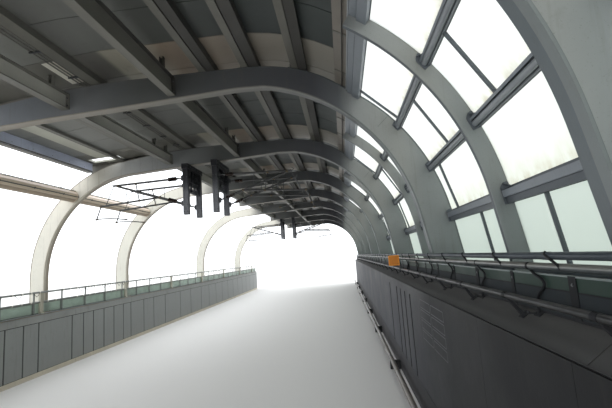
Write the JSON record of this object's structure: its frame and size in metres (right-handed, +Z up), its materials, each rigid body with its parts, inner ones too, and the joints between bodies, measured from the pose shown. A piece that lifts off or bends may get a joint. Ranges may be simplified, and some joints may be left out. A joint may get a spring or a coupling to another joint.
{
  "type": "arched railway canopy section",
  "caption": "Arched railway canopy section, half roofed and half glazed, on two parapet walls with handrails, with drop posts that carry swivelling overhead-line arms.",
  "frame": {"origin": "middle of the footprint, at the foot of the two walls", "axes": "+Y along the track, +X towards the glazed side, +Z up"},
  "size_m": [11.1, 37.8, 6.135],
  "materials": {
    "rib_grey": "satin grey-green paint",
    "rib_cream": "satin cream paint",
    "purlin_blue_grey": "satin blue-grey paint",
    "roof_sheet": "dull coated profiled sheet",
    "eaves_blue_grey": "satin blue-grey paint",
    "milky_glass": "milky, slightly green, dusty",
    "wall_dark_panel": "dull dark grey absorber panels on concrete",
    "wall_grey_panel": "dull mid grey absorber panels on concrete",
    "rail_steel": "satin dark grey paint",
    "screen_green": "green tinted screen",
    "screen_teal": "teal tinted screen",
    "post_dark": "dull dark paint",
    "arm_galvanised": "weathered galvanised steel",
    "plate_orange": "orange enamel, blank",
    "pipe_grey": "dull grey"
  },
  "bodies": {
    "canopy": {"right_parapet": "wall_dark_panel", "left_parapet": "wall_grey_panel", "main_rib_0": "rib_grey", "main_rib_1": "rib_grey", "main_rib_2": "rib_grey", "main_rib_3": "rib_grey", "main_rib_4": "rib_grey", "main_rib_5": "rib_grey", "main_rib_6": "rib_grey", "main_rib_7": "rib_grey", "main_rib_8": "rib_grey", "glazing_frame_0": "purlin_blue_grey", "glazing_frame_1": "purlin_blue_grey", "glazing_frame_2": "purlin_blue_grey", "glazing_frame_3": "purlin_blue_grey", "glazing_frame_4": "purlin_blue_grey", "glazing_frame_5": "purlin_blue_grey", "glazing_frame_6": "purlin_blue_grey", "glazing_frame_7": "purlin_blue_grey", "glazing_frame_8": "purlin_blue_grey", "glass_sheet_0": "milky_glass", "glass_sheet_1": "milky_glass", "glass_sheet_2": "milky_glass", "glass_sheet_3": "milky_glass", "glass_sheet_4": "milky_glass", "glass_sheet_5": "milky_glass", "glass_sheet_6": "milky_glass", "glass_sheet_7": "milky_glass", "glass_sheet_8": "milky_glass", "roof_deck_front": "roof_sheet", "roof_deck_middle": "roof_sheet", "roof_deck_rear": "roof_sheet", "left_eaves_beam": "eaves_blue_grey", "left_tie_tube_0": "rib_cream", "left_tie_tube_1": "rib_cream", "left_tie_tube_2": "rib_cream", "left_tie_tube_3": "rib_cream", "right_screen": "screen_green", "left_screen": "screen_teal", "right_lower_rail": "rail_steel", "right_upper_rail": "rail_steel", "left_railing": "rail_steel", "blank_plate": "plate_orange", "wall_foot_pipe": "pipe_grey", "drop_frame_1": "post_dark", "drop_frame_2": "post_dark", "drop_frame_3": "post_dark", "drop_frame_4": "post_dark", "drop_web_1": "post_dark", "drop_web_2": "post_dark", "drop_web_3": "post_dark", "drop_web_4": "post_dark"},
    "arm_1": {"swivel_arm_1": "arm_galvanised"},
    "arm_2": {"swivel_arm_2": "arm_galvanised"},
    "arm_3": {"swivel_arm_3": "arm_galvanised"},
    "arm_4": {"swivel_arm_4": "arm_galvanised"},
    "arm_5": {"swivel_arm_5": "arm_galvanised"},
    "arm_6": {"swivel_arm_6": "arm_galvanised"},
    "arm_7": {"swivel_arm_7": "arm_galvanised"},
    "arm_8": {"swivel_arm_8": "arm_galvanised"}
  },
  "joints": [
    {"name": "arm_1_swivel", "type": "hinge", "parent": "canopy", "child": "arm_1", "pos_m": [-0.655, -7.65, 4.68], "axis": [0, 0, 1], "range_deg": [-8, 8]},
    {"name": "arm_2_swivel", "type": "hinge", "parent": "canopy", "child": "arm_2", "pos_m": [-0.655, -6.7, 4.68], "axis": [0, 0, 1], "range_deg": [-8, 8]},
    {"name": "arm_3_swivel", "type": "hinge", "parent": "canopy", "child": "arm_3", "pos_m": [0.405, -7.65, 4.68], "axis": [0, 0, 1], "range_deg": [-8, 8]},
    {"name": "arm_4_swivel", "type": "hinge", "parent": "canopy", "child": "arm_4", "pos_m": [0.405, -6.7, 4.68], "axis": [0, 0, 1], "range_deg": [-8, 8]},
    {"name": "arm_5_swivel", "type": "hinge", "parent": "canopy", "child": "arm_5", "pos_m": [-0.655, 9.15, 4.68], "axis": [0, 0, 1], "range_deg": [-8, 8]},
    {"name": "arm_6_swivel", "type": "hinge", "parent": "canopy", "child": "arm_6", "pos_m": [-0.655, 10.1, 4.68], "axis": [0, 0, 1], "range_deg": [-8, 8]},
    {"name": "arm_7_swivel", "type": "hinge", "parent": "canopy", "child": "arm_7", "pos_m": [0.405, 9.15, 4.68], "axis": [0, 0, 1], "range_deg": [-8, 8]},
    {"name": "arm_8_swivel", "type": "hinge", "parent": "canopy", "child": "arm_8", "pos_m": [0.405, 10.1, 4.68], "axis": [0, 0, 1], "range_deg": [-8, 8]}
  ]
}
